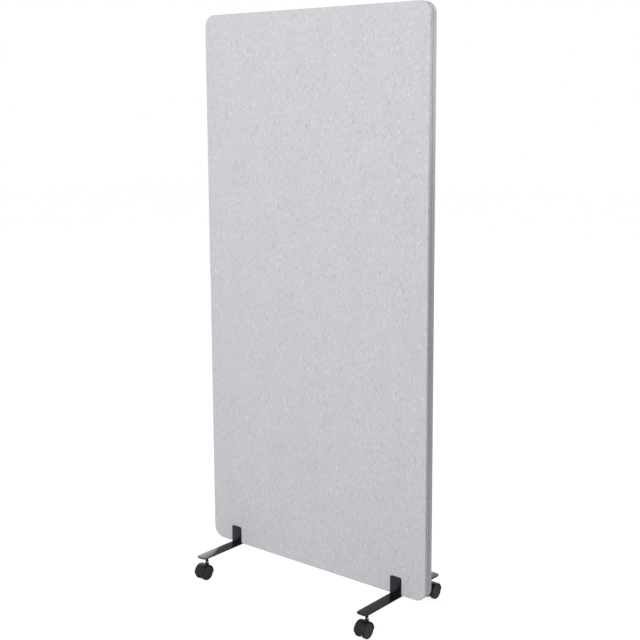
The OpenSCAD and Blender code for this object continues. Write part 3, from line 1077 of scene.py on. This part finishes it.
for side_name, side in SIDES.items():
    for foot_name, foot in FEET.items():
        corner = f"{side_name}_{foot_name}"
        place = caster_place(foot, side)
        for part, finish, body, slot in (
            ("sleeve", matt_powder_coat, "stand", "foot_steel"),
            ("stem", zinc, "stand", "plated_steel"),
            ("hood", hood_nylon, f"{corner}_caster", "hood_plastic"),
        ):
            made = piece(f"{corner}_caster_{part}", moved(drawn[part].copy(), place), [finish])
            dressed(made, body, f"{corner}_{part}")
        for wheel_name, outward in WHEELS.items():
            # Towards +X in the caster's own drawing, once the rear ones are turned round.
            along = outward * foot * -side
            lift = Matrix.Translation((0, 0, wheel_face))
            wheel_body = f"{corner}_{wheel_name}_wheel"
            for part, finish, slot in (
                ("wheel", wheel_nylon_with_painted_shade, "wheel_plastic"), ("cap", cap_nylon, "cap_plastic"),
            ):
                node = f"{corner}_{wheel_name}_{part}"
                shape = on_axle(moved(drawn[part].copy(), lift), flip=along < 0)
                made = piece(f"{node}_turned", moved(shape, place), [finish])
                dressed(made, wheel_body, node)

for shape in drawn.values():
    shape.free()

# ------------------------------------------------------------ pieces kept from the solids

KEPT = {
    "front_board": fibreboard, "rear_board": fibreboard, "joining_dowels": beech,
    "left_foot_screws": zinc, "right_foot_screws": zinc,
    "left_foot_inserts": brass, "right_foot_inserts": brass,
}
for corner in (f"{s}_{f}" for s in SIDES for f in FEET):
    KEPT[f"{corner}_clip"] = zinc
    KEPT[f"{corner}_axle"] = zinc

for node, finish in KEPT.items():
    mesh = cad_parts[node].data
    mesh.materials.clear()
    mesh.materials.append(finish)

# ------------------------------------------------------------ camera

IMAGE_W = 640
FOCAL_PX = 1147.6
SENSOR_MM = 36
VIEW_YAW, VIEW_PITCH, VIEW_ROLL = (math.radians(a) for a in (-39.762, 8.597, 0.308))
OPTICAL_CENTRE_Y_PX = 275.2
VIEW_FROM = (2.068, -2.442 - board_t, 1.348 + panel_z)
FAR_ENOUGH = 100

lens = bpy.data.cameras.new("view")
lens.sensor_width = SENSOR_MM
lens.lens = FOCAL_PX * SENSOR_MM / IMAGE_W
lens.shift_y = (OPTICAL_CENTRE_Y_PX - IMAGE_W / 2) / IMAGE_W
lens.clip_end = FAR_ENOUGH
camera = bpy.data.objects.new("view", lens)
bpy.context.scene.collection.objects.link(camera)
camera.matrix_world = (
    Matrix.Translation(VIEW_FROM)
    @ Matrix.Rotation(-VIEW_YAW, 4, "Z")
    @ Matrix.Rotation(math.pi / 2 - VIEW_PITCH, 4, "X")
    @ Matrix.Rotation(-VIEW_ROLL, 4, "Z")
)
bpy.context.scene.camera = camera

# ------------------------------------------------------------ floor, lamps, world

WHITE = (1, 1, 1, 1)
FLOOR_HALF = 14.0
FLOOR_LIT = (0.765, 0.745, 0.762, 1)
FLOOR_SHADOW = (0.2, 0.2, 0.2, 1)
FLOOR_GLOW = 0.915
WORLD_LIGHT = 0.41


def shown_white(n, lit, white):
    """Mixes lit with white for what the camera sees directly, mirrored or through something."""
    path = n.add("ShaderNodeLightPath").outputs
    bent = n.math("MAXIMUM", path["Is Glossy Ray"], path["Is Transmission Ray"])
    seen = n.math("MAXIMUM", path["Is Camera Ray"], bent)
    mix = n.add("ShaderNodeMixShader")
    for socket, value in zip(mix.inputs, (seen, lit, white)):
        n.feed(value, socket)
    return mix.outputs[0]


def pale_floor():
    """A plain floor that gives soft light back and shows as white with a faint shadow."""
    bm = bmesh.new()
    corners = ((-1, -1), (1, -1), (1, 1), (-1, 1))
    bm.faces.new([bm.verts.new((x * FLOOR_HALF, y * FLOOR_HALF, 0)) for x, y in corners])
    material = bpy.data.materials.new("pale_floor")
    material.use_nodes = True
    nodes = material.node_tree.nodes
    n = Nodes(material.node_tree)
    nodes.remove(nodes["Principled BSDF"])
    lit = n.add("ShaderNodeBsdfDiffuse")
    lit.inputs["Color"].default_value = FLOOR_LIT
    shadow = n.add("ShaderNodeBsdfDiffuse")
    shadow.inputs["Color"].default_value = FLOOR_SHADOW
    glow = n.add("ShaderNodeEmission")
    glow.inputs["Strength"].default_value = FLOOR_GLOW
    white = n.add("ShaderNodeAddShader")
    n.feed(shadow.outputs[0], white.inputs[0])
    n.feed(glow.outputs[0], white.inputs[1])
    shown = shown_white(n, lit.outputs[0], white.outputs[0])
    n.feed(shown, nodes["Material Output"].inputs["Surface"])
    piece("floor", bm, [material])


def studio_world():
    """Even light from all round, behind which the room shows as white."""
    world = bpy.data.worlds.new("studio")
    world.use_nodes = True
    bpy.context.scene.world = world
    nodes = world.node_tree.nodes
    n = Nodes(world.node_tree)
    lit = nodes["Background"]
    white = n.add("ShaderNodeBackground")
    for light, strength in ((lit, WORLD_LIGHT), (white, 1.0)):
        light.inputs["Color"].default_value = WHITE
        light.inputs["Strength"].default_value = strength
    shown = shown_white(n, lit.outputs[0], white.outputs[0])
    n.feed(shown, nodes["World Output"].inputs["Surface"])


def softbox(name, place, aim, width, power, spread=180):
    """A square lamp at a place, turned to what it lights. spread is in degrees."""
    lamp = bpy.data.lights.new(name, "AREA")
    lamp.shape = "SQUARE"
    lamp.size = width
    lamp.energy = power
    lamp.spread = math.radians(spread)
    obj = bpy.data.objects.new(name, lamp)
    bpy.context.scene.collection.objects.link(obj)
    obj.location = place
    obj.rotation_mode = "QUATERNION"
    obj.rotation_quaternion = (Vector(aim) - Vector(place)).to_track_quat("-Z", "Y")


pale_floor()
studio_world()
softbox("key_softbox", place=(0.1, -4.0, 3.05), aim=(0, 0, 1.1), width=2.4, power=125)
softbox("side_softbox", place=(1.5, 0.05, 1.83), aim=(0.4, 0, 1.54), width=0.4, power=0.41,
        spread=46)
softbox("back_softbox", place=(-4.3, 3.75, 2.35), aim=(0, 0, 0.6), width=4.0, power=80)
softbox("rear_softbox", place=(-1.0, 4.6, 1.3), aim=(-0.1, 0, 1.0), width=1.8, power=5.5,
        spread=60)
bpy.context.scene.view_settings.view_transform = "Standard"
